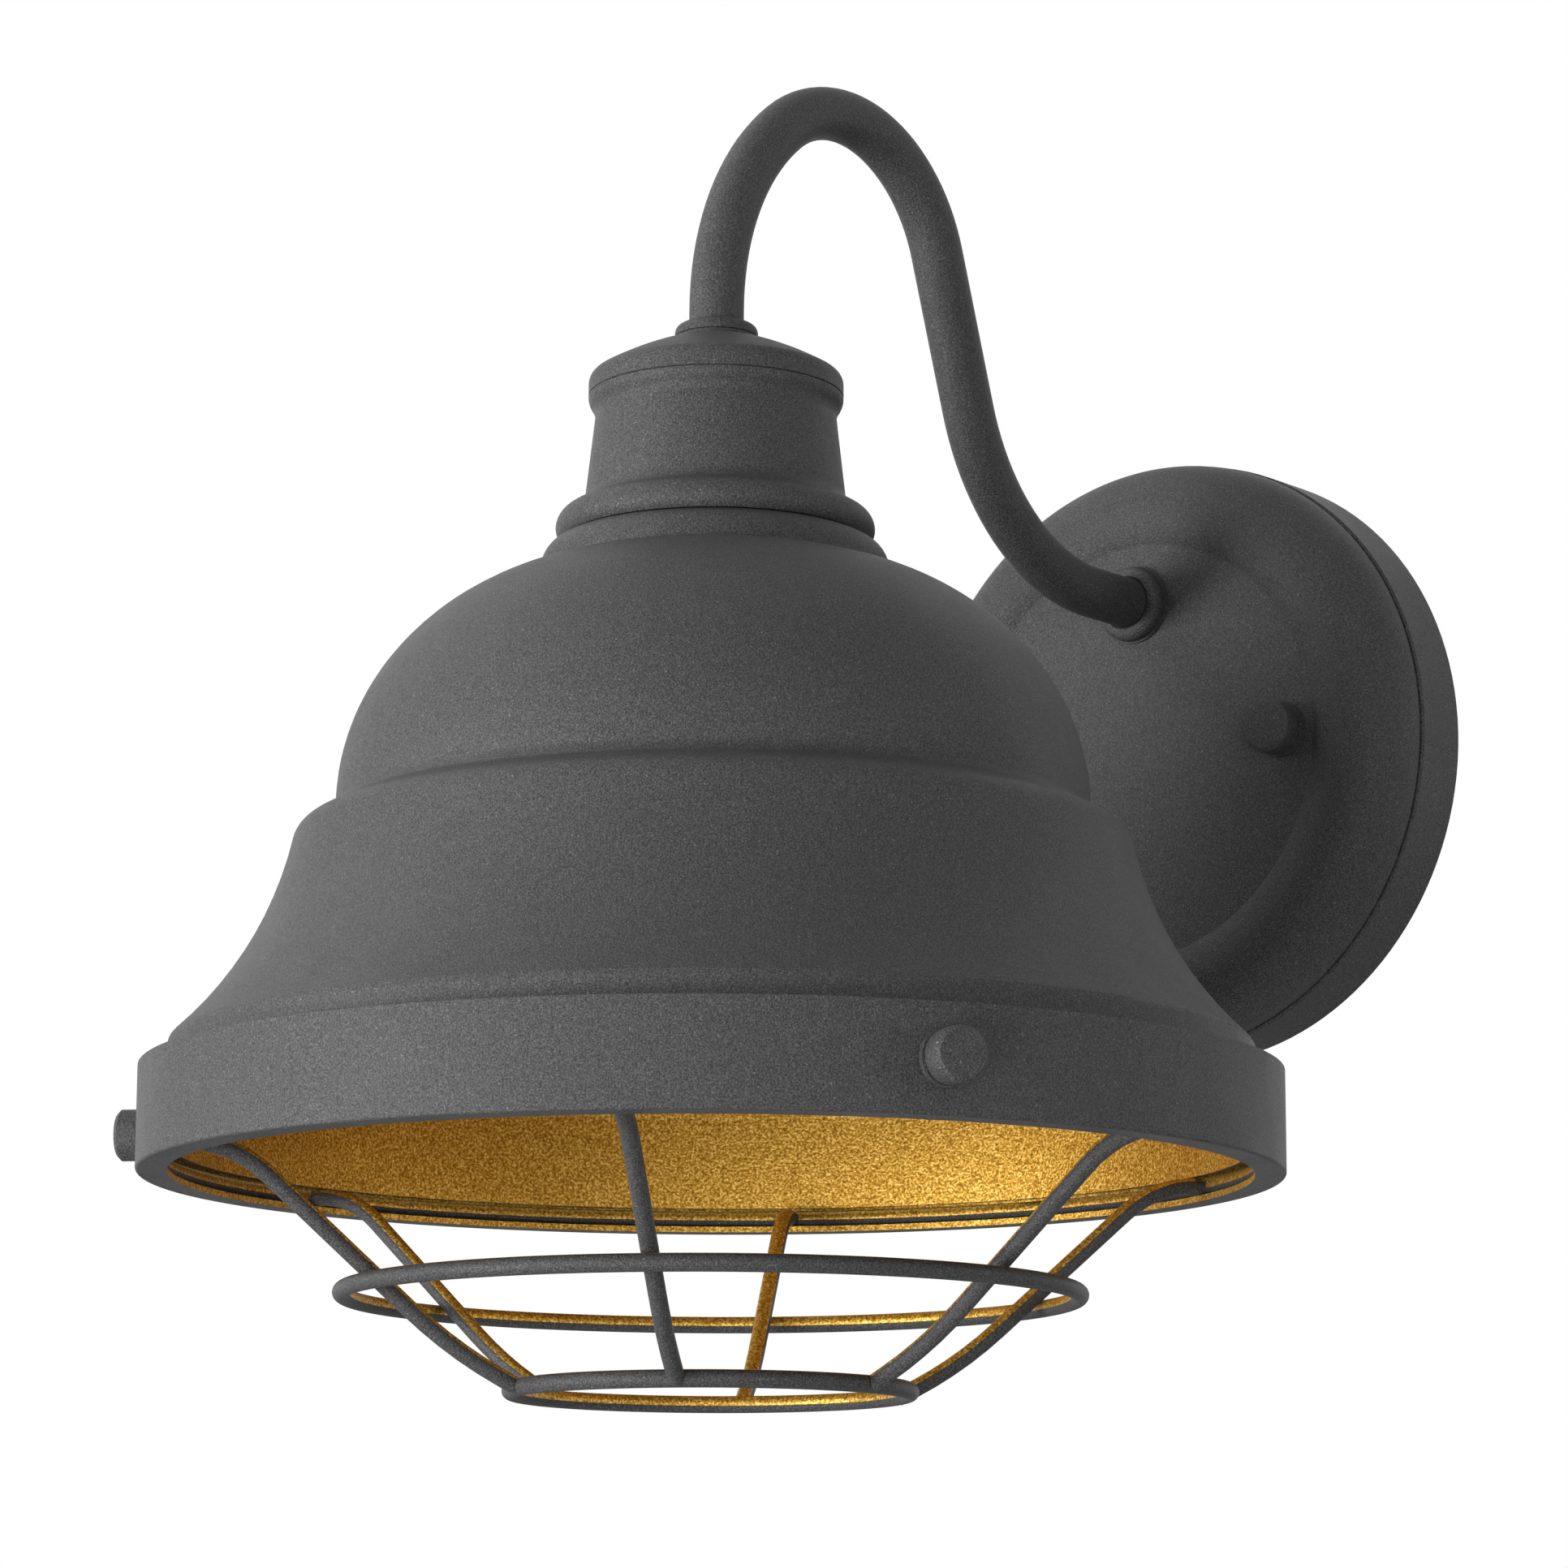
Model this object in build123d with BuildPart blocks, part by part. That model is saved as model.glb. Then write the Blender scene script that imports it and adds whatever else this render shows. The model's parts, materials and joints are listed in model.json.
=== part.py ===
from build123d import *
import os
from math import acos, cos, degrees, radians, sin, sqrt, tan

# Outdoor wall sconce with a gooseneck arm, a stepped dome shade and a wire guard.
# Millimetres. The origin is the centre of the wall plate on the wall, +Z is up and
# +Y points into the wall, so the lamp head stands on the -Y side.

# Fits
slip = 0.05
seat_gap = 0.3
turn_gap = 0.06
weld_gap = 0.02
edge_break = 0.4

# Wall plate: straight rim, rolled edge that tucks in over the rim, and a sunk flat disc
plate_r = 60.3
plate_rim_h = 12.6
plate_rim_wall = 2.0
plate_tuck_h = 1.4
plate_tuck_in = 0.7
plate_roll_step = 0.3
plate_roll_r = 11.6
plate_roll_inner_w = 6.2
plate_wall = 1.2
disc_sink = 1.5

# Wall hardware: foam seal, slotted strap for the junction box, studs and their nuts
seal_w = 2.8
seal_depth = 5.0
box_screw_pitch = 88.9
box_slot_w = 5.0
box_slot_len = 11.6
strap_len = 105.0
strap_w = 19.0
strap_t = 1.6
strap_corner_r = 4.0
strap_wire_hole_r = 6.0
stud_pitch = 70.0
stud_r = 2.08
stud_hole_play = 0.4
jam_nut_flats = 8.7
jam_nut_h = 3.2
ground_screw_x = -17.0
ground_screw_r = 2.4
ground_head_r = 4.4
ground_head_h = 2.6
ground_slot_w = 1.2
ground_slot_depth = 1.1

# Round fastener heads of the thumb screws and, a size up, of the cap nuts
head_r = 4.65
nut_head_r = 5.2
head_h = 4.5
head_chamfer = 0.7
head_neck_r = 3.8
head_neck_h = 0.45
washer_r = 4.9
nut_washer_r = 5.5
washer_t = 1.4
stud_grip = 3.2

# Arm: one bent tube that leaves the plate level and drops into the socket cap
reach = 154.2
tube_od = 10.0
tube_wall = 1.0
arm_entry_z = 30.0
collar_seat_z = 55.8
rise_above_collar = 6.0
shoulder_bend_r = 51.6
shoulder_bend_deg = 51.0
crown_bend_r = 29.4
crown_bend_deg = 110.6
root_bend_r = 42.3
lock_nut_flats = 14.0
lock_nut_h = 4.0
lock_washer_r = 9.0
lock_washer_t = 0.9
arm_tail = 2.0

# Collars at the arm's two ends
collar_flange_r = 8.0
collar_flange_h = 0.6
collar_r = 7.6
collar_h = 2.7
collar_round = 1.7
collar_groove = 0.4

# Leads inside the arm, each ended by a twist connector behind the plate
lead_r = 1.0
lead_bend_r = 6.0
lead_straight = 2.5
lead_tail = 6.0
connector_mouth_r = 4.2
connector_tip_r = 2.7
connector_len = 17.0
connector_hold = 3.5

# Socket cap: shallow crown, rolled shoulder over a seam, waist, taper and a skirt that curls in
cap_h = 37.55
cap_roof_t = 5.8
cap_roof_r = 13.0
cap_flat_r = 8.4
cap_crown_r = 22.0
cap_crown_drop = 6.1
cap_crown_arc_r = 70.0
cap_roll_r = 23.2
cap_roll_round_h = 2.0
cap_roll_h = 2.5
cap_seam = 0.3
cap_waist_r = 21.95
cap_waist_ease_h = 3.9
cap_taper_r = 23.5
cap_taper_h = 13.7
cap_skirt_r = 28.9
cap_skirt_ease_h = 7.0
cap_curl = 1.1
cap_wall = 1.9
cap_seat_r = 21.9
gasket_t = 1.0
gasket_w = 4.2

# Lampholder for a medium screw base
holder_play = 1.5
holder_len = 47.0
holder_roof = 6.2
holder_chamber_h = 6.0
holder_floor = 3.0
socket_bore_r = 14.4
shell_play = 0.1
shell_wall = 0.7
shell_len = 26.0
contact_r = 4.5
contact_t = 1.2
rivet_r = 1.5
terminal_w = 3.0
terminal_t = 1.2
terminal_len = 5.0
terminal_gap = 0.6
shade_hole_play = 0.5
shade_nut_h = 6.0
shade_nut_wall = 4.5
shade_nut_grips = 12
shade_nut_grip_r = 1.2

# Bulb: threaded base, contact button and frosted glass
base_r = 13.1
base_root_r = 12.3
base_thread_pitch = 3.629
base_turns = 5
base_collar_h = 3.4
base_cone_h = 2.5
base_cone_r = 5.2
button_r = 4.6
button_h = 1.0
bulb_neck_r = 12.6
bulb_neck_h = 7.5
bulb_r = 24.0
bulb_len = 89.0
glass_t = 0.9

# Shade: spun sheet with a round shoulder, a dome, a step, a flare and a skirt
shade_sheet = 1.0
shoulder_r = 31.5
shoulder_round = 5.0
shoulder_foot = 0.9
dome_r = 67.4
dome_centre_r = 17.0
dome_fall = 44.2
step_hollow_r = 2.5
step_hollow_deg = 65.0
step_ledge = 3.95
step_round_r = 4.5
step_round_deg = 53.0
flare_deg = 35.7
rim_round_r = 1.4
skirt_r = 95.9

# Retaining band round the skirt
band_gap = 3.9
band_wall = 1.2
band_h = 18.3
band_drop = 3.91
band_lip_w = 4.3
band_lip_t = 1.1
band_edge_round = 0.5

# Thumb screws through the band, a third of a turn apart
screw_count = 3
screw_turn_deg = 92.0
screw_names = ("back", "left", "right")
screw_r = 2.0
boss_r = 3.6
boss_gap = 0.8

# Wire guard: three rings and bent ribs
wire_d = 3.1
ring_wall_gap = 0.4
cage_depth = 40.0
middle_ring_r = 64.8
bottom_ring_r = 35.0
rib_count = 6
rib_turn_deg = 1.3
rib_run = 10.9
rib_shoulder_ease = 0.81
rib_elbow_r = 47.6
rib_elbow_rise = 6.05
rib_elbow_ease = 0.74

# Heights and depths that follow
tuck_top = plate_rim_h + plate_tuck_h
plate_h = tuck_top + plate_roll_r
roll_r = plate_r - plate_roll_step
tuck_r = roll_r - plate_tuck_in
roll_crest_r = roll_r - plate_roll_r
rim_inner_r = plate_r - plate_rim_wall
disc_h = plate_h - disc_sink
disc_back = disc_h - plate_wall
disc_r = roll_crest_r - plate_roll_inner_w
head_seat = washer_t + turn_gap
stud_reach = disc_h + head_seat + head_neck_h + stud_grip
nut_stack = lock_washer_t + lock_nut_h
arm_rear = disc_back - nut_stack - arm_tail

cap_top_z = collar_seat_z
cap_bottom_z = cap_top_z - cap_h
cap_ceiling_z = cap_top_z - cap_roof_t
holder_top_z = cap_ceiling_z - nut_stack
holder_roof_z = holder_top_z - holder_roof
holder_floor_z = holder_roof_z - holder_chamber_h
socket_top_z = holder_floor_z - holder_floor
holder_r = cap_waist_r - cap_wall - holder_play
lead_front_z = holder_floor_z + terminal_t
lead_offset = tube_od / 2 - tube_wall - lead_r - seat_gap
rise_end_z = collar_seat_z + rise_above_collar

shade_top_z = cap_bottom_z - slip
gasket_r = cap_seat_r + gasket_w
gasket_top_z = shade_top_z + gasket_t
shoulder_z = shade_top_z - shoulder_round
dome_z = shoulder_z - dome_fall
shade_hole_r = holder_r + shade_hole_play
dome_side = dome_r - dome_centre_r
dome_h = (dome_fall - shoulder_foot) / sqrt(1 - ((shoulder_r - dome_centre_r) / dome_side) ** 2)

# Headings down the shade's section, and the flare radius that ends on the skirt
ledge_deg = -90 + step_hollow_deg
wall_deg = ledge_deg - step_round_deg
rim_deg = wall_deg + flare_deg


def turn_run(radius, start_deg, end_deg):
    """Sideways run of an arc that turns from one heading to another."""
    return radius * abs(sin(radians(end_deg)) - sin(radians(start_deg)))


def turn_fall(radius, start_deg, end_deg):
    """Height lost by an arc that turns from one heading to another."""
    return radius * abs(cos(radians(end_deg)) - cos(radians(start_deg)))


step_run = (
    turn_run(step_hollow_r, -90, ledge_deg)
    + step_ledge * cos(radians(ledge_deg))
    + turn_run(step_round_r, ledge_deg, wall_deg)
)
flare_run = skirt_r - dome_r - step_run - turn_run(rim_round_r, rim_deg, -90)
flare_r = flare_run / turn_run(1, wall_deg, rim_deg)
rim_z = (
    dome_z
    - turn_fall(step_hollow_r, -90, ledge_deg)
    + step_ledge * sin(radians(ledge_deg))
    - turn_fall(step_round_r, ledge_deg, wall_deg)
    - turn_fall(flare_r, wall_deg, rim_deg)
    - turn_fall(rim_round_r, rim_deg, -90)
)

band_inner_r = skirt_r + band_gap
band_r = band_inner_r + band_wall
band_top_z = rim_z - band_drop
band_bottom_z = band_top_z - band_h
lip_top_z = band_bottom_z + band_lip_t
screw_z = (band_top_z + band_bottom_z) / 2
screw_tip_r = skirt_r + seat_gap
screw_seat_r = band_r + seat_gap

wire_r = wire_d / 2
top_ring_r = band_inner_r - ring_wall_gap - wire_r
top_ring_z = lip_top_z + wire_r + slip
skirt_bottom_z = top_ring_z + wire_r + seat_gap
bottom_ring_z = top_ring_z - cage_depth
rib_top = Vector(top_ring_r - wire_r / 2, top_ring_z)
rib_foot = Vector(bottom_ring_r + wire_r / 2, bottom_ring_z)
rib_shoulder = Vector(top_ring_r - rib_run, top_ring_z)
rib_elbow = Vector(rib_elbow_r, bottom_ring_z + rib_elbow_rise)
rib_slope = (rib_elbow - rib_shoulder).normalized()
ring_offset = Vector(-rib_slope.Y, rib_slope.X) * (wire_d + weld_gap)
rib_touch_drop = (rib_shoulder.X - middle_ring_r + ring_offset.X) * rib_slope.Y / rib_slope.X
middle_ring_z = top_ring_z - rib_touch_drop + ring_offset.Y

# Working planes and axes
wall = Plane.XZ
head_section = Plane.XZ.offset(reach)
head_axis = Axis((0, -reach, 0), (0, 0, 1))
plate_axis = Axis((0, 0, 0), (0, 1, 0))
stud_spots = [(stud_pitch / 2, 0), (-stud_pitch / 2, 0)]

os.makedirs("parts", exist_ok=True)


def save(part, name):
    part.label = name
    export_step(part, f"parts/{name}.step")


def head_plane(z):
    """Level plane on the head's axis at a height."""
    return Plane(origin=(0, -reach, z), z_dir=(0, 0, 1))


def ring_piece(base, outer_r, inner_r, height):
    """Flat ring that stands on a plane."""
    with BuildPart() as piece:
        with BuildSketch(base):
            Circle(outer_r)
            Circle(inner_r, mode=Mode.SUBTRACT)
        extrude(amount=height)
    return piece.part


def hex_nut(base, flats, bore_r, height):
    """Hexagon nut that stands on a plane, with its top corners broken."""
    with BuildPart() as piece:
        with BuildSketch(base):
            RegularPolygon(flats / 2, 6, major_radius=False)
        extrude(amount=height)
        top = piece.faces().sort_by(Axis(base.origin, base.z_dir))[-1]
        chamfer(top.edges(), edge_break)
        with BuildSketch(base):
            Circle(bore_r)
        extrude(amount=height, mode=Mode.SUBTRACT)
    return piece.part


def collar(base):
    """Rounded ring over a grooved flange, bored for the arm."""
    with BuildPart() as piece:
        with BuildSketch(base):
            Circle(collar_flange_r)
        extrude(amount=collar_flange_h)
        with BuildSketch(base.offset(collar_flange_h)):
            Circle(collar_r - collar_groove)
        extrude(amount=collar_groove)
        with BuildSketch(base.offset(collar_flange_h + collar_groove)):
            Circle(collar_r)
        extrude(amount=collar_h - collar_groove)
        top = piece.faces().sort_by(Axis(base.origin, base.z_dir))[-1]
        fillet(top.edges(), collar_round)
        with BuildSketch(base):
            Circle(tube_od / 2 + slip)
        extrude(amount=collar_flange_h + collar_h, mode=Mode.SUBTRACT)
        rim = piece.faces().filter_by(GeomType.PLANE).sort_by(Axis(base.origin, base.z_dir))[-1]
        chamfer(rim.edges().sort_by(Edge.length)[0], edge_break)
    return piece.part


def knob(seat, radius):
    """Round chamfered head on a narrower neck, standing on a plane."""
    with BuildPart() as piece:
        with BuildSketch(seat):
            Circle(head_neck_r)
        extrude(amount=head_neck_h)
        with BuildSketch(seat.offset(head_neck_h)):
            Circle(radius)
        extrude(amount=head_h)
        top = piece.faces().sort_by(Axis(seat.origin, seat.z_dir))[-1]
        chamfer(top.edges(), head_chamfer)
    return piece.part


def bend_radius(before, corner, after, ease):
    """Radius of a bend that takes up a share of the shorter leg at its corner."""
    leg = min((corner - before).length, (after - corner).length)
    turn = (corner - before).get_angle(after - corner)
    return ease * leg / tan(radians(turn / 2))


def arm_route(x, front_z, rear):
    """Bent route in an upright plane, from the lampholder back to a depth off the wall."""
    total_deg = shoulder_bend_deg + crown_bend_deg
    crest_z = rise_end_z + turn_run(shoulder_bend_r, 0, shoulder_bend_deg)
    over_z = crown_bend_r * (sin(radians(total_deg)) - sin(radians(shoulder_bend_deg)))
    root_fall = root_bend_r * (1 - sin(radians(total_deg)))
    fall = (crest_z + over_z - root_fall - arm_entry_z) / -cos(radians(total_deg))
    with BuildLine(Plane.YZ.offset(x)) as route:
        rise = Line((-reach, front_z), (-reach, rise_end_z))
        shoulder = JernArc(rise @ 1, rise % 1, shoulder_bend_r, -shoulder_bend_deg)
        crown = JernArc(shoulder @ 1, shoulder % 1, crown_bend_r, -crown_bend_deg)
        drop = PolarLine(crown @ 1, fall, direction=crown % 1)
        root = JernArc(drop @ 1, drop % 1, root_bend_r, total_deg - 90)
        Line(root @ 1, Vector(x, -rear, arm_entry_z))
    return route


# Wall plate
with BuildPart() as wall_plate:
    with BuildSketch(Plane.XY):
        with BuildLine():
            crest = (roll_crest_r, -plate_h)
            inner_crest = (roll_crest_r, plate_wall - plate_h)
            Line((0, -disc_h), (disc_r, -disc_h))
            TangentArc(crest, (disc_r, -disc_h), tangent=(-1, 0))
            TangentArc(crest, (roll_r, -tuck_top), tangent=(1, 0))
            TangentArc((roll_r, -tuck_top), (tuck_r, -plate_rim_h), tangent=(0, 1))
            Polyline(
                (tuck_r, -plate_rim_h),
                (plate_r - edge_break, -plate_rim_h),
                (plate_r, edge_break - plate_rim_h),
                (plate_r, 0),
                (rim_inner_r, 0),
                (rim_inner_r, -tuck_top),
            )
            TangentArc((rim_inner_r, -tuck_top), inner_crest, tangent=(0, -1))
            TangentArc(inner_crest, (disc_r, -disc_back), tangent=(-1, 0))
            Polyline((disc_r, -disc_back), (0, -disc_back), (0, -disc_h))
        make_face()
    revolve(axis=plate_axis)
    with BuildSketch(wall.offset(disc_back)):
        with Locations((0, arm_entry_z)):
            Circle(tube_od / 2 + slip)
        with Locations(*stud_spots):
            Circle(stud_r + stud_hole_play)
    extrude(amount=plate_wall, mode=Mode.SUBTRACT)
save(wall_plate.part, "wall_plate")

# Foam seal inside the plate's rim
seal_r = rim_inner_r - slip
save(ring_piece(wall, seal_r, seal_r - seal_w, seal_depth), "wall_gasket")

# Strap that screws to the junction box
with BuildPart() as mounting_strap:
    with BuildSketch(wall):
        RectangleRounded(strap_len, strap_w, strap_corner_r)
        Circle(strap_wire_hole_r, mode=Mode.SUBTRACT)
        with GridLocations(box_screw_pitch, 0, 2, 1):
            SlotOverall(box_slot_len, box_slot_w, mode=Mode.SUBTRACT)
        with Locations(*stud_spots):
            Circle(stud_r + slip, mode=Mode.SUBTRACT)
        with Locations((ground_screw_x, 0)):
            Circle(ground_screw_r + slip, mode=Mode.SUBTRACT)
    extrude(amount=strap_t)
save(mounting_strap.part, "mounting_strap")

# Studs through the strap and the plate
with BuildPart() as strap_studs:
    with BuildSketch(wall):
        with Locations(*stud_spots):
            Circle(stud_r)
    extrude(amount=stud_reach)
    tips = strap_studs.faces().sort_by(Axis.Y)[:2]
    chamfer(tips.edges(), edge_break)
save(strap_studs.part, "strap_studs")

# Nuts that lock the studs to the strap
with BuildPart() as stud_jam_nuts:
    for spot_x, spot_z in stud_spots:
        nut_base = Plane(origin=(spot_x, -strap_t, spot_z), z_dir=(0, -1, 0))
        add(hex_nut(nut_base, jam_nut_flats, stud_r + slip, jam_nut_h))
save(stud_jam_nuts.part, "stud_jam_nuts")

# Grounding screw on the strap
with BuildPart() as ground_screw:
    with BuildSketch(wall):
        with Locations((ground_screw_x, 0)):
            Circle(ground_screw_r)
    extrude(amount=strap_t)
    with BuildSketch(wall.offset(strap_t)):
        with Locations((ground_screw_x, 0)):
            Circle(ground_head_r)
    extrude(amount=ground_head_h)
    chamfer(ground_screw.faces().sort_by(Axis.Y)[0].edges(), edge_break)
    with BuildSketch(wall.offset(strap_t + ground_head_h)):
        with Locations((ground_screw_x, 0)):
            Rectangle(2 * ground_head_r, ground_slot_w)
    extrude(amount=-ground_slot_depth, mode=Mode.SUBTRACT)
save(ground_screw.part, "ground_screw")

# Cap nuts and their washers on the plate's disc
for spot_x, side in ((stud_pitch / 2, "right"), (-stud_pitch / 2, "left")):
    disc_seat = Plane(origin=(spot_x, -disc_h, 0), z_dir=(0, -1, 0))
    nut_washer = ring_piece(disc_seat, nut_washer_r, stud_r + slip, washer_t)
    save(nut_washer, f"cap_nut_washer_{side}")
    with BuildPart() as cap_nut:
        add(knob(disc_seat.offset(head_seat), nut_head_r))
        with BuildSketch(disc_seat.offset(head_seat)):
            Circle(stud_r + slip)
        extrude(amount=head_neck_h + stud_grip + seat_gap, mode=Mode.SUBTRACT)
    save(cap_nut.part, f"cap_nut_{side}")

# Gooseneck arm
tube_start = head_plane(holder_roof_z)
with BuildPart() as arm_tube:
    with BuildSketch(tube_start):
        Circle(tube_od / 2)
        Circle(tube_od / 2 - tube_wall, mode=Mode.SUBTRACT)
    sweep(path=arm_route(0, holder_roof_z, arm_rear).wire())
save(arm_tube.part, "arm_tube")

# Arm collars, washers and lock nuts at the plate and in the cap
arm_at_plate = Plane(origin=(0, -disc_h, arm_entry_z), z_dir=(0, -1, 0))
behind_plate = Plane(origin=(0, -disc_back, arm_entry_z), z_dir=(0, 1, 0))
under_ceiling = Plane(origin=(0, -reach, cap_ceiling_z), z_dir=(0, 0, -1))
tube_bore_r = tube_od / 2 + slip
save(collar(arm_at_plate), "arm_base_collar")
save(collar(head_plane(collar_seat_z)), "neck_collar")
for clamp_face, end in ((behind_plate, "rear"), (under_ceiling, "front")):
    save(ring_piece(clamp_face, lock_washer_r, tube_bore_r, lock_washer_t), f"arm_{end}_washer")
    nut_face = clamp_face.offset(lock_washer_t)
    save(hex_nut(nut_face, lock_nut_flats, tube_bore_r, lock_nut_h), f"arm_{end}_nut")

# Leads, from the lampholder's terminals through the arm to the twist connectors
lead_turn_y = lead_straight - arm_rear
tail_y = lead_turn_y + lead_bend_r
for side, name in ((-1, "lead_live"), (1, "lead_neutral")):
    lead_x = side * lead_offset
    run = arm_route(lead_x, lead_front_z, -lead_turn_y)
    with BuildLine(Plane.XY.offset(arm_entry_z)) as tail:
        bend = JernArc((lead_x, lead_turn_y), (0, 1), lead_bend_r, -side * 90)
        PolarLine(bend @ 1, lead_tail, direction=bend % 1)
    with BuildPart() as lead:
        with BuildSketch(Plane(origin=(lead_x, -reach, lead_front_z), z_dir=(0, 0, 1))):
            Circle(lead_r)
        sweep(path=Wire(run.edges() + tail.edges()))
    save(lead.part, name)

# Twist connectors on the leads' tails
mouth_x = lead_offset + lead_bend_r + lead_tail - connector_hold
with BuildPart() as wire_connectors:
    for side in (-1, 1):
        mouth = Plane(origin=(side * mouth_x, tail_y, arm_entry_z), z_dir=(side, 0, 0))
        with BuildSketch(mouth):
            Circle(connector_mouth_r)
        with BuildSketch(mouth.offset(connector_len)):
            Circle(connector_tip_r)
        loft()
        with BuildSketch(mouth):
            Circle(lead_r + slip)
        extrude(amount=connector_hold + seat_gap, mode=Mode.SUBTRACT)
save(wire_connectors.part, "wire_connectors")

# Socket cap
with BuildPart() as socket_cap:
    with BuildSketch(head_section):
        with BuildLine():
            crown_z = cap_top_z - cap_crown_drop
            roll_top_z = crown_z - cap_roll_round_h
            roll_bottom_z = roll_top_z - cap_roll_h
            waist_z = roll_bottom_z - cap_waist_ease_h
            taper_z = waist_z - cap_taper_h
            skirt_z = taper_z - cap_skirt_ease_h
            ease_mid = ((cap_roll_r + cap_waist_r) / 2, (roll_bottom_z + waist_z) / 2)
            skirt_mid = ((cap_taper_r + cap_skirt_r) / 2, (taper_z + skirt_z) / 2)
            Line((tube_bore_r, cap_top_z), (cap_flat_r, cap_top_z))
            RadiusArc((cap_flat_r, cap_top_z), (cap_crown_r, crown_z), cap_crown_arc_r)
            TangentArc((cap_roll_r, roll_top_z), (cap_crown_r, crown_z), tangent=(0, 1))
            Polyline(
                (cap_roll_r, roll_top_z),
                (cap_roll_r, roll_bottom_z + cap_seam),
                (cap_roll_r - cap_seam, roll_bottom_z + cap_seam / 2),
                (cap_roll_r, roll_bottom_z),
            )
            ease = TangentArc((cap_roll_r, roll_bottom_z), ease_mid, tangent=(0, -1))
            TangentArc(ease @ 1, (cap_waist_r, waist_z), tangent=ease % 1)
            Line((cap_waist_r, waist_z), (cap_taper_r, taper_z))
            hollow = TangentArc((cap_taper_r, taper_z), skirt_mid, tangent=(0, -1))
            TangentArc(hollow @ 1, (cap_skirt_r, skirt_z), tangent=hollow % 1)
            curl_end = (cap_skirt_r - cap_curl, cap_bottom_z)
            TangentArc((cap_skirt_r, skirt_z), curl_end, tangent=(0, -1))
            Polyline(
                curl_end,
                (gasket_r + seat_gap, cap_bottom_z),
                (gasket_r + seat_gap, gasket_top_z),
                (cap_seat_r, gasket_top_z),
                (cap_seat_r, taper_z),
                (cap_waist_r - cap_wall, waist_z),
                (cap_waist_r - cap_wall, crown_z - cap_wall),
                (cap_roof_r, cap_ceiling_z),
                (tube_bore_r, cap_ceiling_z),
                (tube_bore_r, cap_top_z),
            )
        make_face()
    revolve(axis=head_axis)
save(socket_cap.part, "socket_cap")

# Seal between the cap and the shade, let into the cap's lower face
save(ring_piece(head_plane(shade_top_z), gasket_r, cap_seat_r, gasket_t), "cap_gasket")

# Lampholder body, screwed on the arm's end under its lock nut
with BuildPart() as lampholder_body:
    with BuildSketch(head_plane(holder_top_z)):
        Circle(holder_r)
    extrude(amount=-holder_len)
    with BuildSketch(head_plane(holder_top_z)):
        Circle(tube_bore_r)
    extrude(amount=-holder_roof, mode=Mode.SUBTRACT)
    with BuildSketch(head_plane(holder_roof_z)):
        Circle(socket_bore_r)
    extrude(amount=-holder_chamber_h, mode=Mode.SUBTRACT)
    with BuildSketch(head_plane(holder_floor_z)):
        Circle(rivet_r + slip)
        with Locations((socket_bore_r - shell_play - shell_wall / 2, 0)):
            Rectangle(2 * shell_wall, terminal_w + shell_wall)
    extrude(amount=-holder_floor, mode=Mode.SUBTRACT)
    with BuildSketch(head_plane(socket_top_z)):
        Circle(socket_bore_r)
    extrude(amount=-holder_len, mode=Mode.SUBTRACT)
save(lampholder_body.part, "lampholder_body")

# Screw shell with its terminal strip through the lampholder's floor
shell_r = socket_bore_r - shell_play
strip_x = shell_r - shell_wall
with BuildPart() as lampholder_shell:
    with BuildSketch(head_plane(socket_top_z)):
        Circle(shell_r)
        Circle(shell_r - shell_wall, mode=Mode.SUBTRACT)
    extrude(amount=-shell_len)
    with BuildSketch(head_plane(socket_top_z)):
        with Locations((strip_x, 0)):
            Rectangle(shell_wall, terminal_w)
    extrude(amount=lead_front_z - socket_top_z)
    with BuildSketch(head_plane(holder_floor_z)):
        with Locations((terminal_gap + rivet_r, 0)):
            Rectangle(
                strip_x - terminal_gap - rivet_r,
                terminal_w,
                align=(Align.MIN, Align.CENTER),
            )
    extrude(amount=terminal_t)
save(lampholder_shell.part, "lampholder_shell")

# Centre contact, riveted through the floor to its own terminal strip
with BuildPart() as lampholder_contact:
    with BuildSketch(head_plane(socket_top_z)):
        Circle(contact_r)
    extrude(amount=-contact_t)
    with BuildSketch(head_plane(socket_top_z)):
        Circle(rivet_r)
    extrude(amount=lead_front_z - socket_top_z)
    with BuildSketch(head_plane(holder_floor_z)):
        with Locations((rivet_r, 0)):
            Rectangle(terminal_len + rivet_r, terminal_w, align=(Align.MAX, Align.CENTER))
    extrude(amount=terminal_t)
save(lampholder_contact.part, "lampholder_contact")

# Bulb: the button slides with the thread, the base and the glass also turn
button_top_z = socket_top_z - contact_t - seat_gap
cone_top_z = button_top_z - button_h
thread_top_z = cone_top_z - base_cone_h
thread_bottom_z = thread_top_z - base_turns * base_thread_pitch
base_bottom_z = thread_bottom_z - base_collar_h
bulb_bottom_z = button_top_z - bulb_len
bulb_centre_z = bulb_bottom_z + bulb_r
button_base = head_plane(cone_top_z + turn_gap)
save(ring_piece(button_base, button_r, rivet_r / 2, button_h - turn_gap), "bulb_contact")

with BuildPart() as bulb_base:
    with BuildSketch(head_section):
        with BuildLine():
            Polyline(
                (base_root_r, thread_top_z),
                (base_cone_r, cone_top_z),
                (0, cone_top_z),
                (0, base_bottom_z),
                (base_r, base_bottom_z),
                (base_r, thread_bottom_z + base_collar_h / 4),
                (base_root_r, thread_bottom_z),
            )
            for turn in range(base_turns):
                thread_z = thread_bottom_z + turn * base_thread_pitch
                ThreePointArc(
                    (base_root_r, thread_z),
                    (base_r, thread_z + base_thread_pitch / 2),
                    (base_root_r, thread_z + base_thread_pitch),
                )
        make_face()
    revolve(axis=head_axis)
save(bulb_base.part, "bulb_base")


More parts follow.
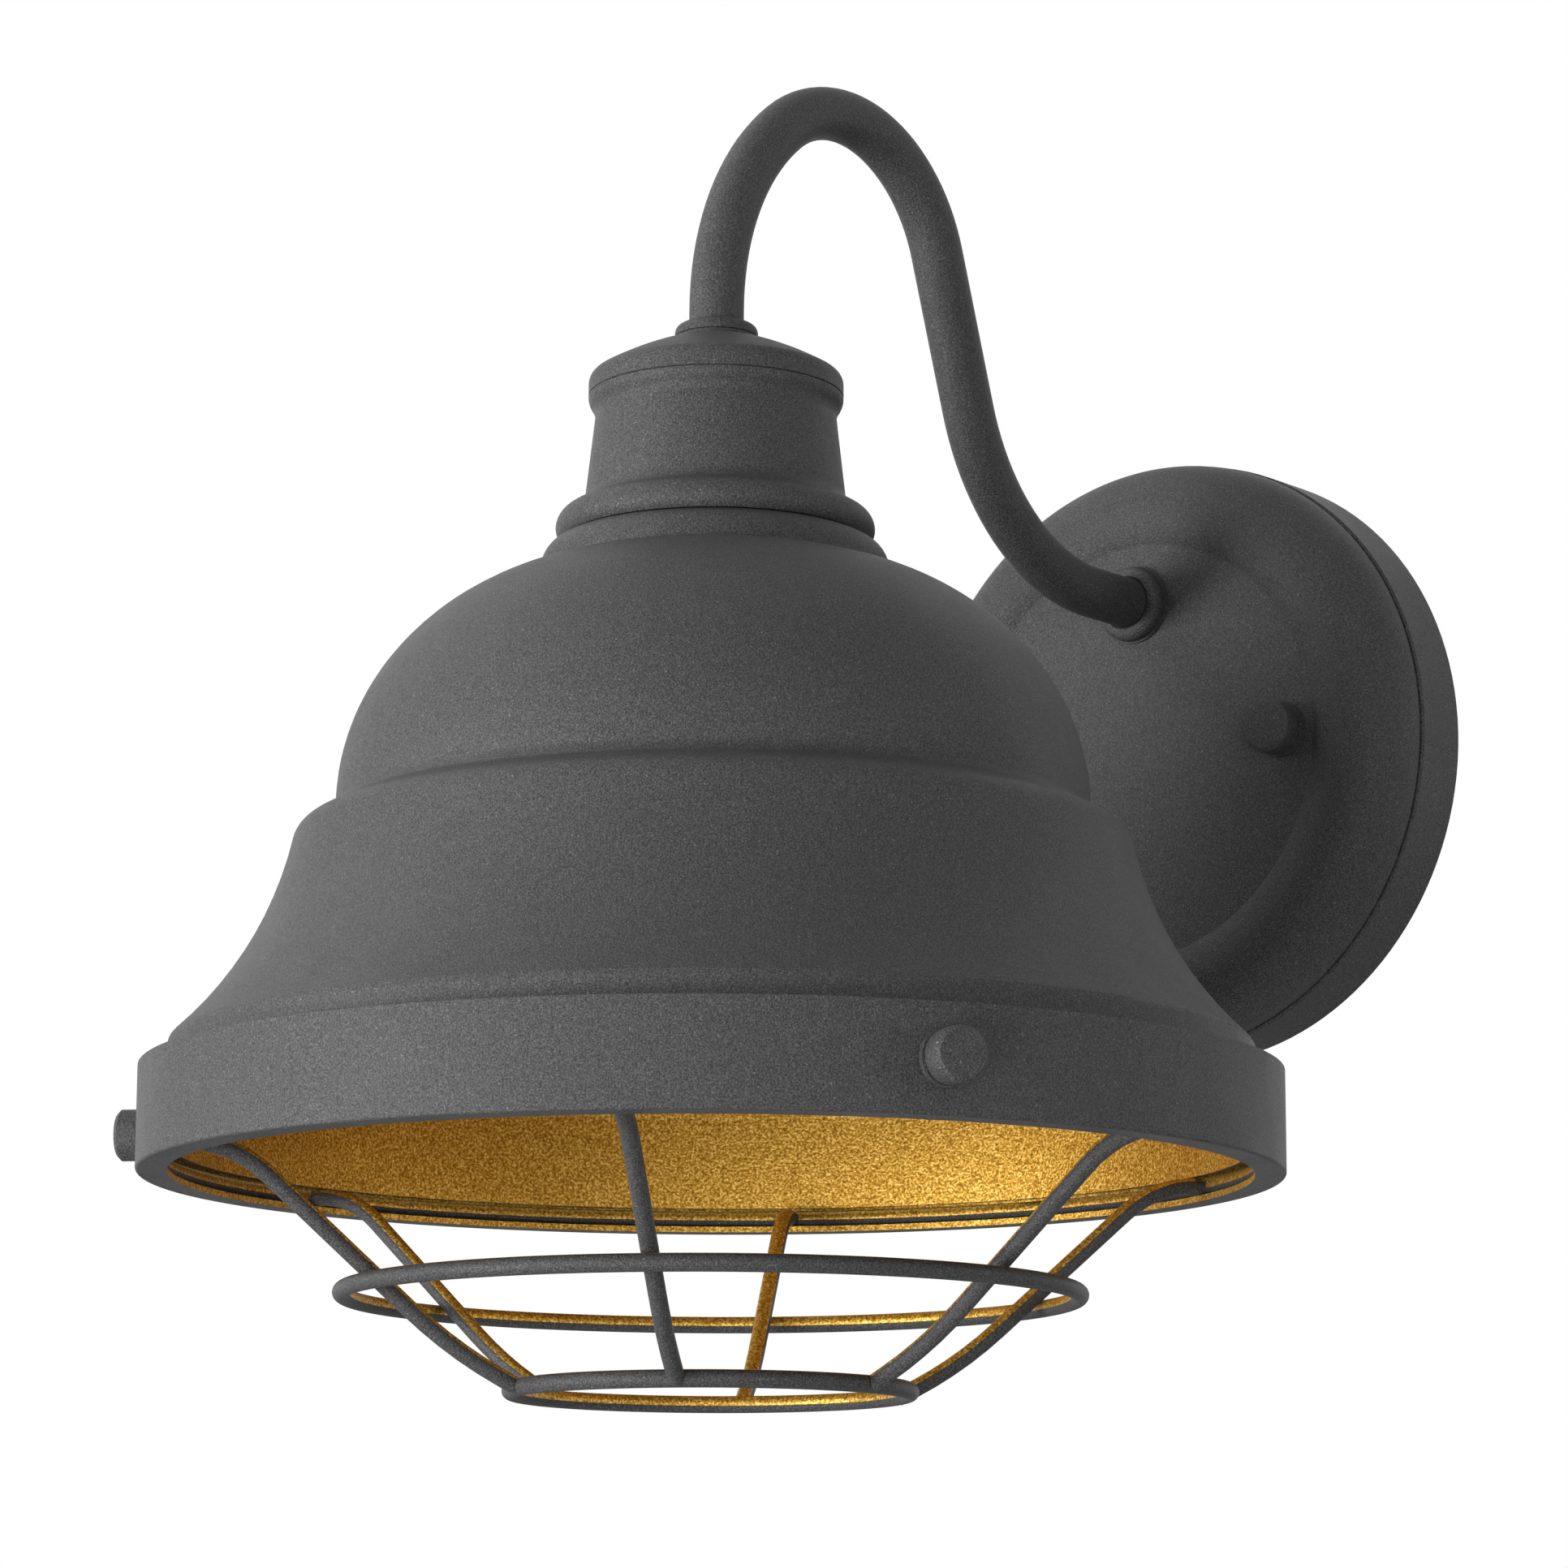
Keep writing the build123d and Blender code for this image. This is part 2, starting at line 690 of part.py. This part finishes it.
def glass_side(inset):
    """Pear outline of the bulb from its neck to its lowest point, moved in by an inset."""
    with BuildLine() as side:
        neck = Line(
            (bulb_neck_r - inset, base_bottom_z),
            (bulb_neck_r - inset, base_bottom_z - bulb_neck_h),
        )
        widest = (bulb_r - inset, bulb_centre_z)
        TangentArc(widest, neck @ 1, tangent=(0, 1))
        TangentArc(widest, (0, bulb_bottom_z + inset), tangent=(0, -1))
    return side


with BuildPart() as bulb_glass:
    with BuildSketch(head_section):
        with BuildLine():
            add(glass_side(0).line)
            add(glass_side(glass_t).line)
            Line((bulb_neck_r, base_bottom_z), (bulb_neck_r - glass_t, base_bottom_z))
            Line((0, bulb_bottom_z), (0, bulb_bottom_z + glass_t))
        make_face()
    revolve(axis=head_axis)
save(bulb_glass.part, "bulb_glass")


def shade_side(inset):
    """One face of the shade's sheet, from the top hole down to the skirt's edge."""
    side_r = dome_side - inset
    side_h = dome_h - inset
    foot_r = shoulder_r - inset
    foot_deg = degrees(acos((foot_r - dome_centre_r) / side_r))
    with BuildLine() as side:
        flat = Line(
            (shade_hole_r, shade_top_z - inset),
            (shoulder_r - shoulder_round, shade_top_z - inset),
        )
        shoulder = TangentArc(flat @ 1, (foot_r, shoulder_z), tangent=(1, 0))
        EllipticalCenterArc((dome_centre_r, dome_z), side_r, side_h, arc_size=foot_deg)
        Line(shoulder @ 1, (foot_r, dome_z + side_h * sin(radians(foot_deg))))
        hollow = JernArc(
            (dome_r - inset, dome_z), (0, -1), step_hollow_r + inset, step_hollow_deg
        )
        ledge = PolarLine(hollow @ 1, step_ledge, direction=hollow % 1)
        round_over = JernArc(ledge @ 1, ledge % 1, step_round_r - inset, -step_round_deg)
        flare = JernArc(round_over @ 1, round_over % 1, flare_r + inset, flare_deg)
        rim = JernArc(flare @ 1, flare % 1, rim_round_r - inset, -90 - rim_deg)
        Line(rim @ 1, (skirt_r - inset, skirt_bottom_z))
    return side


# Shade
with BuildPart() as shade:
    with BuildSketch(head_section):
        with BuildLine():
            add(shade_side(0).line)
            add(shade_side(shade_sheet).line)
            Line((shade_hole_r, shade_top_z), (shade_hole_r, shade_top_z - shade_sheet))
            Line((skirt_r, skirt_bottom_z), (skirt_r - shade_sheet, skirt_bottom_z))
        make_face()
    revolve(axis=head_axis)
save(shade.part, "shade")

# Grip ring on the lampholder that clamps the shade to the cap
clamp_top = head_plane(shade_top_z - shade_sheet)
shade_nut_r = holder_r + slip + shade_nut_wall
with BuildPart() as shade_ring:
    with BuildSketch(clamp_top):
        Circle(shade_nut_r)
        Circle(holder_r + slip, mode=Mode.SUBTRACT)
        with PolarLocations(shade_nut_r, shade_nut_grips):
            Circle(shade_nut_grip_r, mode=Mode.SUBTRACT)
    extrude(amount=-shade_nut_h)
save(shade_ring.part, "shade_ring")


def screw_plane(azimuth_deg):
    """Plane on the head's axis at the screws' height, facing straight outwards."""
    outward = (cos(radians(azimuth_deg)), sin(radians(azimuth_deg)), 0)
    return Plane(origin=(0, -reach, screw_z), x_dir=(0, 0, 1), z_dir=outward)


screw_planes = [
    screw_plane(screw_turn_deg + 360 * i / screw_count) for i in range(screw_count)
]

# Retaining band with an inward lip under the skirt
with BuildPart() as retaining_band:
    with BuildSketch(head_section):
        with BuildLine():
            Polyline(
                (band_r, band_top_z),
                (band_r, band_bottom_z),
                (band_inner_r - band_lip_w, band_bottom_z),
                (band_inner_r - band_lip_w, lip_top_z),
                (band_inner_r, lip_top_z),
                (band_inner_r, band_top_z),
                close=True,
            )
        make_face()
    revolve(axis=head_axis)
    outer_edges = retaining_band.edges().group_by(Axis.Z)[0]
    fillet(outer_edges.sort_by(Edge.length)[-1], band_edge_round)
    for screw_base in screw_planes:
        with BuildSketch(screw_base.offset(skirt_r)):
            Circle(screw_r + slip)
        extrude(amount=band_r - skirt_r + band_gap, mode=Mode.SUBTRACT)
save(retaining_band.part, "retaining_band")

# Threaded bosses welded inside the band
with BuildPart() as band_bosses:
    for screw_base in screw_planes:
        with BuildSketch(screw_base.offset(skirt_r + boss_gap)):
            Circle(boss_r)
            Circle(screw_r + slip, mode=Mode.SUBTRACT)
        extrude(amount=band_gap)
    with BuildSketch(head_plane(band_bottom_z)):
        Circle(band_inner_r - weld_gap)
    extrude(amount=band_h, mode=Mode.INTERSECT)
save(band_bosses.part, "band_bosses")

# Thumb screws and their washers
for screw_base, place in zip(screw_planes, screw_names):
    washer_seat = screw_base.offset(screw_seat_r)
    save(ring_piece(washer_seat, washer_r, screw_r + slip, washer_t), f"thumb_washer_{place}")
    with BuildPart() as thumb_screw:
        with BuildSketch(screw_base.offset(screw_tip_r)):
            Circle(screw_r)
        extrude(amount=screw_seat_r + head_seat - screw_tip_r)
        add(knob(washer_seat.offset(head_seat), head_r))
    save(thumb_screw.part, f"thumb_screw_{place}")

# Rings of the wire guard
guard_rings = (
    ("cage_top_ring", top_ring_r, top_ring_z),
    ("cage_middle_ring", middle_ring_r, middle_ring_z),
    ("cage_bottom_ring", bottom_ring_r, bottom_ring_z),
)
for name, ring_r, ring_z in guard_rings:
    with BuildPart() as guard_ring:
        with BuildSketch(head_section):
            with Locations((ring_r, ring_z)):
                Circle(wire_r)
        revolve(axis=head_axis)
    save(guard_ring.part, name)

# Ribs of the wire guard, coped where they meet the top and bottom rings
rib_sin = sin(radians(rib_turn_deg))
rib_cos = cos(radians(rib_turn_deg))
rib_plane = Plane(origin=(0, -reach, 0), x_dir=(rib_cos, rib_sin, 0), z_dir=(rib_sin, -rib_cos, 0))
with BuildPart() as cage_ribs:
    with BuildLine(rib_plane) as rib_route:
        FilletPolyline(
            (rib_top.X, rib_top.Y),
            (rib_shoulder.X, rib_shoulder.Y),
            (rib_elbow.X, rib_elbow.Y),
            (rib_foot.X, rib_foot.Y),
            radius=[
                bend_radius(rib_top, rib_shoulder, rib_elbow, rib_shoulder_ease),
                bend_radius(rib_shoulder, rib_elbow, rib_foot, rib_elbow_ease),
            ],
        )
    rib_start = rib_route.wire()
    with BuildSketch(Plane(origin=rib_start @ 0, z_dir=rib_start % 0)):
        Circle(wire_r)
    sweep(path=rib_start)
    for ring_r, ring_z in ((top_ring_r, top_ring_z), (bottom_ring_r, bottom_ring_z)):
        with BuildSketch(head_section):
            with Locations((ring_r, ring_z)):
                Circle(wire_r + weld_gap)
        revolve(axis=head_axis, mode=Mode.SUBTRACT)
    one_rib = cage_ribs.part
with BuildPart() as all_ribs:
    for i in range(rib_count):
        add(one_rib.rotate(head_axis, 360 * i / rib_count))
save(all_ribs.part, "cage_ribs")
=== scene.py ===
import json
import math
import bpy
from mathutils import Matrix, Vector


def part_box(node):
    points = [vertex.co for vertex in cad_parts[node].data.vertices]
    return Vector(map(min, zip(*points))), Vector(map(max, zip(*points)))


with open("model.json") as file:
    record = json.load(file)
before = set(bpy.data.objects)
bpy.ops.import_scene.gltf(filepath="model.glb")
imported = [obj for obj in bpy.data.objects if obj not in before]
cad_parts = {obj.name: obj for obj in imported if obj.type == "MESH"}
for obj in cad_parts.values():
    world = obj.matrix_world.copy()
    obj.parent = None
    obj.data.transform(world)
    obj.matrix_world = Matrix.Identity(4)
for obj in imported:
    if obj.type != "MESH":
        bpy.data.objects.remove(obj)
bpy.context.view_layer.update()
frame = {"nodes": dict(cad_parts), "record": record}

# Lengths are in metres and powers in watts; the wall is the plane y = 0, and the head's axis is upright
shade_low, shade_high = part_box("shade")
HEAD_Y = (shade_low.y + shade_high.y) / 2.0

# Gold paint: the point that the shade's gold side faces, and how the guard's wires were sprayed
PAINT_AIM = Vector((0.0, HEAD_Y, -0.070))
SPRAY_RISE = math.radians(51.0)
SPRAY_SPREAD = math.radians(62.0)

# Ragged edge of the gold, in cosines past the limit that it may face
RAGGED_SCALE = 900.0
RAGGED_DEPTH = 0.10
EDGE_START = 0.03
EDGE_END = 0.09

# Nearly all of a noise texture's values lie between these two
NOISE_LOW = 0.3
NOISE_HIGH = 0.7

# Powder coat: noise scales, colours from pit to peak, and finish
GRAIN_SCALE = 3600.0
GLINT_SCALE = 2600.0
FLAKE_SCALE = 2100.0
PATCH_SCALE = 60.0
BLACK_STOPS = (
    (NOISE_LOW, (0.018, 0.018, 0.019)),
    (0.50, (0.049, 0.049, 0.050)),
    (NOISE_HIGH, (0.105, 0.105, 0.107)),
)
# Painted glints: sparse specks of the coat's base colour lifted to a lighter grey stand in for highlights
GLINT_STOPS = ((0.70, (0.0, 0.0, 0.0)), (0.78, (1.0, 1.0, 1.0)))
GLINT_COLOUR = (0.18, 0.18, 0.185, 1.0)
GOLD_STOPS = (
    (0.33, (0.24, 0.115, 0.010)),
    (0.50, (0.52, 0.285, 0.034)),
    (0.67, (0.88, 0.60, 0.17)),
)
BLACK_SMOOTHEST = 0.46
BLACK_ROUGHEST = 0.53
GOLD_ROUGHNESS = 0.42
BLACK_METALLIC = 0.05
GOLD_METALLIC = 0.72
COAT_SPECULAR = 0.16
COAT_DEPTH = 0.00016
COAT_BUMP = 0.9

# Floor, surroundings, and the points that the lamps face
FLOOR_SIZE = 14.0
FLOOR_Z = -1.3
FLOOR_SCALE = 3.0
AMBIENT = 0.14
HEAD_MIDDLE = Vector((0.0, -0.15, 0.0))
GUARD_MIDDLE = Vector((0.0, -0.15, -0.06))

# Camera, solved from the photograph; its angles are in radians
CAMERA_PLACE = Vector((0.5589, -0.8076, -0.19045))
AZIMUTH = 0.693
ELEVATION = -0.189
ROLL = 0.003
LENS_MM = 112.15
SENSOR_MM = 36.0


# Shader nodes
def set_inputs(tree, target, inputs):
    """Set a node's inputs, each to a value or to another node's socket."""
    for name, value in inputs.items():
        if isinstance(value, bpy.types.NodeSocket):
            tree.links.new(value, target.inputs[name])
        else:
            target.inputs[name].default_value = value


def node(tree, kind, inputs=None, **props):
    """A new shader node with its properties and inputs set."""
    made = tree.nodes.new(kind)
    for name, value in props.items():
        setattr(made, name, value)
    set_inputs(tree, made, inputs or {})
    return made


def new_material(name):
    """A material, its node tree, its shader and its texture coordinates."""
    made = bpy.data.materials.new(name)
    made.use_nodes = True
    tree = made.node_tree
    shader = tree.nodes["Principled BSDF"]
    coords = node(tree, "ShaderNodeTexCoord")
    return made, tree, shader, coords


def noise(tree, place, scale, detail=2.0, roughness=0.5):
    inputs = {"Vector": place, "Scale": scale, "Detail": detail, "Roughness": roughness}
    return node(tree, "ShaderNodeTexNoise", inputs).outputs["Fac"]


def ramp(tree, value, stops):
    """Colour ramp from (position, colour) pairs in rising order."""
    made = node(tree, "ShaderNodeValToRGB", {"Fac": value})
    elements = made.color_ramp.elements
    for position, _ in stops[1:-1]:
        elements.new(position)
    for element, (position, colour) in zip(elements, stops):
        element.position = position
        element.color = (*colour, 1.0)
    return made.outputs["Color"]


def map_range(tree, value, low, high, to_low, to_high):
    inputs = {"Value": value, "From Min": low, "From Max": high, "To Min": to_low, "To Max": to_high}
    return node(tree, "ShaderNodeMapRange", inputs).outputs["Result"]


def mix_colour(tree, factor, first, second):
    """A mix node goes by socket numbers: its colours are 6 and 7 in, and 2 out."""
    return node(tree, "ShaderNodeMix", {0: factor, 6: first, 7: second}, data_type="RGBA").outputs[2]


def mix_value(tree, factor, first, second):
    """As mix_colour, for plain values, which are 2 and 3 in, and 0 out."""
    return node(tree, "ShaderNodeMix", {0: factor, 2: first, 3: second}, data_type="FLOAT").outputs[0]


def bump(tree, height, depth, strength):
    inputs = {"Height": height, "Distance": depth, "Strength": strength}
    return node(tree, "ShaderNodeBump", inputs).outputs["Normal"]


def vector_math(tree, operation, *vectors, output="Vector"):
    made = node(tree, "ShaderNodeVectorMath", dict(enumerate(vectors)), operation=operation)
    return made.outputs[output]


# Gold side of the two-tone pieces
def painted_side(tree, coords, towards, limit):
    """1 where a surface faces along a direction, 0 past a limit on the cosine, with a ragged edge."""
    facing = vector_math(tree, "DOT_PRODUCT", coords.outputs["Normal"], towards, output="Value")
    ragged = noise(tree, coords.outputs["Object"], RAGGED_SCALE)
    edge = node(tree, "ShaderNodeMath", {0: ragged, 1: RAGGED_DEPTH, 2: facing}, operation="MULTIPLY_ADD")
    return map_range(tree, edge.outputs[0], limit + EDGE_START, limit + EDGE_END, 0.0, 1.0)


def inside_shade(tree, coords):
    """Gold wherever the surface looks at the shade's mouth."""
    to_aim = vector_math(tree, "SUBTRACT", PAINT_AIM, coords.outputs["Object"])
    towards = vector_math(tree, "NORMALIZE", to_aim)
    return painted_side(tree, coords, towards, 0.0)


def above_guard(tree, coords):
    """Gold on the wires' upper inner side, as sprayed from within and above."""
    outwards = vector_math(tree, "SUBTRACT", coords.outputs["Object"], PAINT_AIM)
    level = vector_math(tree, "MULTIPLY", outwards, (1.0, 1.0, 0.0))
    unit = vector_math(tree, "NORMALIZE", level)
    inwards = vector_math(tree, "MULTIPLY", unit, (-math.cos(SPRAY_RISE),) * 3)
    towards = vector_math(tree, "ADD", inwards, (0.0, 0.0, math.sin(SPRAY_RISE)))
    return painted_side(tree, coords, towards, math.cos(SPRAY_SPREAD))


# Materials
def powder_coat(name, gold_side=None):
    """Dark textured powder coat; two-tone pieces are sprayed gold on one side."""
    made, tree, shader, coords = new_material(name)
    place = coords.outputs["Object"]
    grain = noise(tree, place, GRAIN_SCALE, roughness=0.6)
    # Painted glints: sparse lighter specks mixed into the black colour
    glint = ramp(tree, noise(tree, place, GLINT_SCALE, detail=1.0), GLINT_STOPS)
    patch = noise(tree, place, PATCH_SCALE, detail=3.0)
    colour = mix_colour(tree, glint, ramp(tree, grain, BLACK_STOPS), GLINT_COLOUR)
    rough = map_range(tree, patch, NOISE_LOW, NOISE_HIGH, BLACK_SMOOTHEST, BLACK_ROUGHEST)
    metallic = BLACK_METALLIC
    height = grain
    if gold_side:
        flake = noise(tree, place, FLAKE_SCALE, roughness=0.6)
        painted = gold_side(tree, coords)
        colour = mix_colour(tree, painted, colour, ramp(tree, flake, GOLD_STOPS))
        rough = mix_value(tree, painted, rough, GOLD_ROUGHNESS)
        metallic = mix_value(tree, painted, BLACK_METALLIC, GOLD_METALLIC)
        height = mix_value(tree, painted, grain, flake)
    finish = {
        "Base Color": colour,
        "Roughness": rough,
        "Metallic": metallic,
        "Specular IOR Level": COAT_SPECULAR,
        "Normal": bump(tree, height, COAT_DEPTH, COAT_BUMP),
    }
    set_inputs(tree, shader, finish)
    return made


def follow(tree, mottle, low, high, smoothest, roughest):
    """Shader inputs for a colour and a roughness that follow a mottle."""
    return {
        "Base Color": ramp(tree, mottle, ((NOISE_LOW, low), (NOISE_HIGH, high))),
        "Roughness": map_range(tree, mottle, NOISE_LOW, NOISE_HIGH, smoothest, roughest),
    }


def plain_metal(name, low, high, roughness, scale, metallic=1.0):
    """Metal with a fine brushed or cast mottle between two colours."""
    made, tree, shader, coords = new_material(name)
    mottle = noise(tree, coords.outputs["Object"], scale, detail=4.0, roughness=0.65)
    finish = follow(tree, mottle, low, high, smoothest=roughness - 0.06, roughest=roughness + 0.08)
    finish["Metallic"] = metallic
    finish["Normal"] = bump(tree, mottle, depth=0.00004, strength=0.5)
    set_inputs(tree, shader, finish)
    return made


def soft_body(name, low, high, roughness, scale, depth):
    """Rubber, foam, plastic or glaze with a fine surface and small colour changes."""
    made, tree, shader, coords = new_material(name)
    mottle = noise(tree, coords.outputs["Object"], scale, detail=3.0)
    finish = follow(tree, mottle, low, high, smoothest=roughness - 0.04, roughest=roughness + 0.06)
    finish["Normal"] = bump(tree, mottle, depth, strength=0.6)
    set_inputs(tree, shader, finish)
    return made


def lead_insulation(name, low, high):
    return soft_body(name, low, high, roughness=0.45, scale=500.0, depth=0.00003)


def frosted_glass(name):
    """Pale glass, etched fine enough to blur what lies behind it."""
    made, tree, shader, coords = new_material(name)
    place = coords.outputs["Object"]
    cloud = noise(tree, place, scale=45.0)
    etch = noise(tree, place, scale=1500.0)
    finish = {
        "Base Color": ramp(tree, cloud, ((NOISE_LOW, (0.86, 0.85, 0.81)), (NOISE_HIGH, (0.93, 0.92, 0.89)))),
        "Roughness": map_range(tree, etch, NOISE_LOW, NOISE_HIGH, to_low=0.34, to_high=0.44),
        "Transmission Weight": 0.35,
        "IOR": 1.5,
        "Normal": bump(tree, etch, depth=0.00003, strength=0.4),
    }
    set_inputs(tree, shader, finish)
    return made


# One look for each material slot of the record, and the two-tone pieces
coat_in_shade = powder_coat("powder_coat_gold_inside", inside_shade)
coat_on_guard = powder_coat("powder_coat_gold_above", above_guard)
looks = {
    "black_powder_coat": powder_coat("powder_coat_black"),
    "zinc_plated_steel": plain_metal(
        "zinc_plate", (0.48, 0.48, 0.46), (0.66, 0.66, 0.63), roughness=0.36, scale=700.0
    ),
    "green_screw": plain_metal(
        "green_dyed_zinc", (0.02, 0.17, 0.05), (0.05, 0.27, 0.09), roughness=0.38, scale=600.0, metallic=0.6
    ),
    "foam_seal": soft_body(
        "foam", (0.020, 0.020, 0.021), (0.045, 0.045, 0.046), roughness=0.9, scale=1400.0, depth=0.0002
    ),
    "rubber_seal": soft_body(
        "rubber", (0.018, 0.018, 0.018), (0.032, 0.032, 0.033), roughness=0.7, scale=900.0, depth=0.00006
    ),
    "lead_black": lead_insulation("lead_insulation_black", (0.02, 0.02, 0.02), (0.04, 0.04, 0.04)),
    "lead_white": lead_insulation("lead_insulation_white", (0.68, 0.67, 0.64), (0.78, 0.77, 0.74)),
    "connector_orange": soft_body(
        "connector_plastic", (0.55, 0.15, 0.012), (0.68, 0.21, 0.02),
        roughness=0.4, scale=400.0, depth=0.00004,
    ),
    "porcelain": soft_body(
        "porcelain_glaze", (0.76, 0.74, 0.69), (0.84, 0.83, 0.79), roughness=0.16, scale=160.0, depth=0.00003
    ),
    "socket_brass": plain_metal(
        "socket_brass", (0.52, 0.33, 0.10), (0.70, 0.49, 0.19), roughness=0.34, scale=500.0
    ),
    "bulb_button": plain_metal(
        "bulb_solder", (0.38, 0.36, 0.33), (0.55, 0.53, 0.49), roughness=0.42, scale=900.0
    ),
    "bulb_shell": plain_metal(
        "bulb_aluminium", (0.60, 0.60, 0.61), (0.76, 0.76, 0.77), roughness=0.3, scale=600.0
    ),
    "frosted_glass": frosted_glass("bulb_frosted_glass"),
}
two_tone = {
    "shade": coat_in_shade,
    "retaining_band": coat_in_shade,
    "band_bosses": coat_in_shade,
    "cage_top_ring": coat_on_guard,
    "cage_middle_ring": coat_on_guard,
    "cage_bottom_ring": coat_on_guard,
    "cage_ribs": coat_on_guard,
}
slot_of = {row["node"]: row["material_slot"] for row in frame["record"]["subparts"]}
for name, thing in frame["nodes"].items():
    look = two_tone.get(name, looks[slot_of[name]])
    if not thing.material_slots:
        thing.data.materials.append(look)
    for slot in thing.material_slots:
        slot.material = look


# Floor, surroundings, lamps and camera
scene = bpy.context.scene


def add_floor():
    """Pale floor, well below the light."""
    bpy.ops.mesh.primitive_plane_add(size=FLOOR_SIZE, location=(0.0, 0.0, FLOOR_Z))
    made = bpy.context.object
    made.name = "floor"
    look, tree, shader, coords = new_material("pale_floor")
    cloud = noise(tree, coords.outputs["Object"], FLOOR_SCALE)
    tint = ramp(tree, cloud, ((NOISE_LOW, (0.86, 0.86, 0.86)), (NOISE_HIGH, (0.9, 0.9, 0.9))))
    set_inputs(tree, shader, {"Base Color": tint, "Roughness": 0.8})
    made.data.materials.append(look)
    return made


def white_surroundings():
    """White to the camera, in gloss and through glass, and dim as a light."""
    made = bpy.data.worlds.new("surroundings")
    made.use_nodes = True
    tree = made.node_tree
    tree.nodes.clear()
    path = node(tree, "ShaderNodeLightPath")
    seen = path.outputs["Is Camera Ray"]
    for ray in ("Is Glossy Ray", "Is Transmission Ray"):
        either = node(tree, "ShaderNodeMath", {0: seen, 1: path.outputs[ray]}, operation="MAXIMUM")
        seen = either.outputs[0]
    strength = map_range(tree, seen, 0.0, 1.0, AMBIENT, 1.0)
    sky = node(tree, "ShaderNodeBackground", {"Color": (1.0, 1.0, 1.0, 1.0), "Strength": strength})
    node(tree, "ShaderNodeOutputWorld", {"Surface": sky.outputs["Background"]})
    return made


def add_softbox(name, place, aim, width, height, power):
    lamp = bpy.data.lights.new(name, "AREA")
    lamp.shape = "RECTANGLE"
    lamp.size = width
    lamp.size_y = height
    lamp.energy = power
    thing = bpy.data.objects.new(name, lamp)
    scene.collection.objects.link(thing)
    thing.location = place
    direction = aim - Vector(place)
    thing.rotation_euler = direction.to_track_quat("-Z", "Y").to_euler()


def add_camera():
    """The photograph's camera; back points from the object to it."""
    back = Vector(
        (
            math.sin(AZIMUTH) * math.cos(ELEVATION),
            -math.cos(AZIMUTH) * math.cos(ELEVATION),
            math.sin(ELEVATION),
        )
    )
    right = Vector((math.cos(AZIMUTH), math.sin(AZIMUTH), 0.0))
    up = back.cross(right)
    rolled_right = right * math.cos(ROLL) + up * math.sin(ROLL)
    rolled_up = up * math.cos(ROLL) - right * math.sin(ROLL)
    turn = Matrix((rolled_right, rolled_up, back)).transposed().to_4x4()
    optics = bpy.data.cameras.new("camera")
    optics.sensor_width = SENSOR_MM
    optics.lens = LENS_MM
    made = bpy.data.objects.new("camera", optics)
    scene.collection.objects.link(made)
    made.matrix_world = Matrix.Translation(CAMERA_PLACE) @ turn
    return made


floor = add_floor()
scene.world = white_surroundings()
add_softbox("key_left", (-0.80, -1.36, -0.12), HEAD_MIDDLE, width=0.6, height=0.6, power=21.0)
add_softbox("key_front", (-0.39, -1.61, -0.10), HEAD_MIDDLE, width=0.5, height=0.6, power=8.0)
add_softbox("top_left", (-0.87, -0.56, 1.15), HEAD_MIDDLE, width=0.7, height=0.7, power=5.5)
add_softbox("fill_camera", (1.06, -1.21, -0.15), HEAD_MIDDLE, width=0.5, height=0.4, power=6.0)
add_softbox("edge_right", (1.30, 0.42, -0.08), HEAD_MIDDLE, width=0.4, height=0.4, power=3.0)
add_softbox("from_below", (0.16, -1.25, -0.55), GUARD_MIDDLE, width=0.4, height=0.4, power=7.0)
scene.camera = add_camera()
scene.view_settings.view_transform = "Standard"
